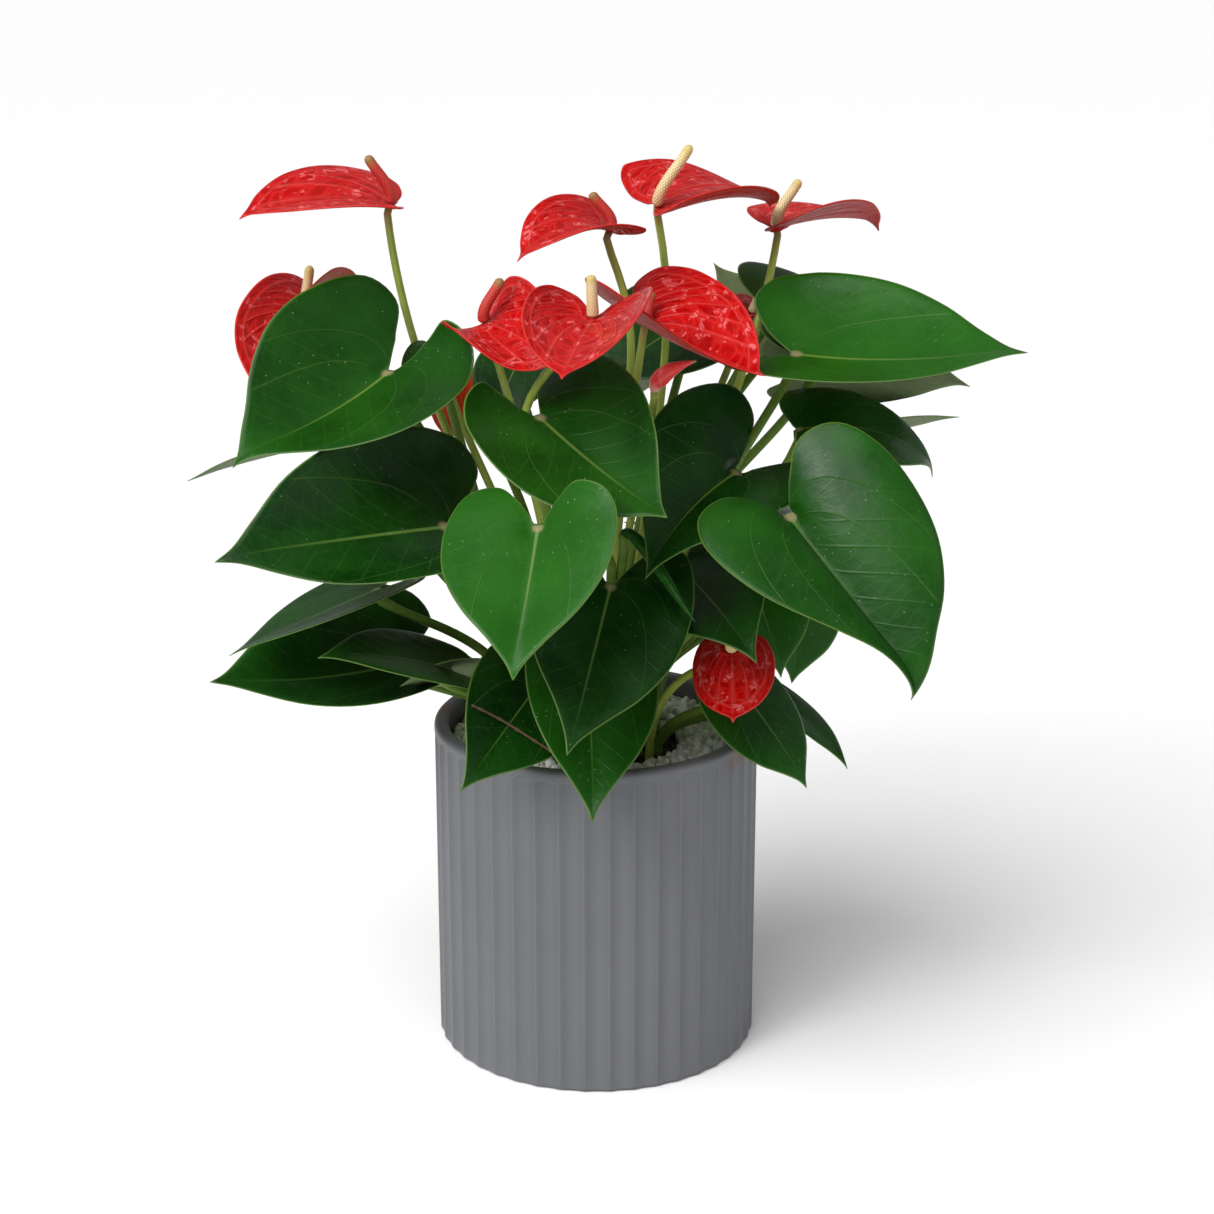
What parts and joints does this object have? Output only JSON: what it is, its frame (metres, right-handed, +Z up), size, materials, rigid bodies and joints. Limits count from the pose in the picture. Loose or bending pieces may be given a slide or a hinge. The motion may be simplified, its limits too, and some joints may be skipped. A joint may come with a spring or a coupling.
{
  "type": "potted flamingo flower",
  "caption": "Flamingo flower plant with glossy heart leaves and red blooms on long stalks, growing in a fluted grey cylinder pot with stone chips on its soil.",
  "frame": {"origin": "centre of the pot's flat underside", "axes": "+Z up along the pot's axis, -Y towards the front of the plant, +X to the right seen from the front"},
  "size_m": [0.4072, 0.3176, 0.4574],
  "materials": {
    "pot": "satin slate grey with pale edges along the flutes",
    "soil": "dark potting bark and peat",
    "stone_chips": "matt white and grey marble chips",
    "leaf": "glossy dark green with paler veins and margins",
    "spathe": "glossy red with an embossed net of veins",
    "red_spadix": "matt red and olive, finely knobbed",
    "pale_spadix": "matt cream to orange, finely knobbed",
    "flower_stalk": "satin olive green"
  },
  "bodies": {
    "root": {"pot": "pot", "soil": "soil", "stone_chips": "stone_chips", "leaf_back_left": "leaf", "leaf_back_right": "leaf", "leaf_centre_front": "leaf", "leaf_centre_low": "leaf", "leaf_centre_upper": "leaf", "leaf_front_rim": "leaf", "leaf_left_low": "leaf", "leaf_left_middle": "leaf", "leaf_left_rim": "leaf", "leaf_left_top": "leaf", "leaf_left_top_back": "leaf", "leaf_middle_back": "leaf", "leaf_right_big": "leaf", "leaf_right_inner": "leaf", "leaf_right_low": "leaf", "leaf_right_low_back": "leaf", "leaf_right_rim": "leaf", "leaf_right_top": "leaf", "leaf_right_top_back": "leaf", "leaf_right_upper": "leaf", "leaf_rolled": "leaf", "bud_spathe": "spathe", "spathe_back_left": "spathe", "spathe_back_right": "spathe", "spathe_centre": "spathe", "spathe_far_right": "spathe", "spathe_left_back": "spathe", "spathe_left_inner": "spathe", "spathe_left_top": "spathe", "spathe_low": "spathe", "spathe_middle_top": "spathe", "spathe_right_inner": "spathe", "spathe_right_top": "spathe", "spadix_left_inner": "red_spadix", "spadix_left_top": "red_spadix", "spadix_middle_top": "red_spadix", "spadix_right_inner": "red_spadix", "spadix_back_left": "pale_spadix", "spadix_back_right": "pale_spadix", "spadix_centre": "pale_spadix", "spadix_far_right": "pale_spadix", "spadix_left_back": "pale_spadix", "spadix_low": "pale_spadix", "spadix_right_top": "pale_spadix", "flower_stalk_back_left": "flower_stalk", "flower_stalk_back_right": "flower_stalk", "flower_stalk_bud": "flower_stalk", "flower_stalk_centre": "flower_stalk", "flower_stalk_far_right": "flower_stalk", "flower_stalk_left_back": "flower_stalk", "flower_stalk_left_inner": "flower_stalk", "flower_stalk_left_top": "flower_stalk", "flower_stalk_low": "flower_stalk", "flower_stalk_middle_top": "flower_stalk", "flower_stalk_right_inner": "flower_stalk", "flower_stalk_right_top": "flower_stalk"}
  },
  "joints": []
}
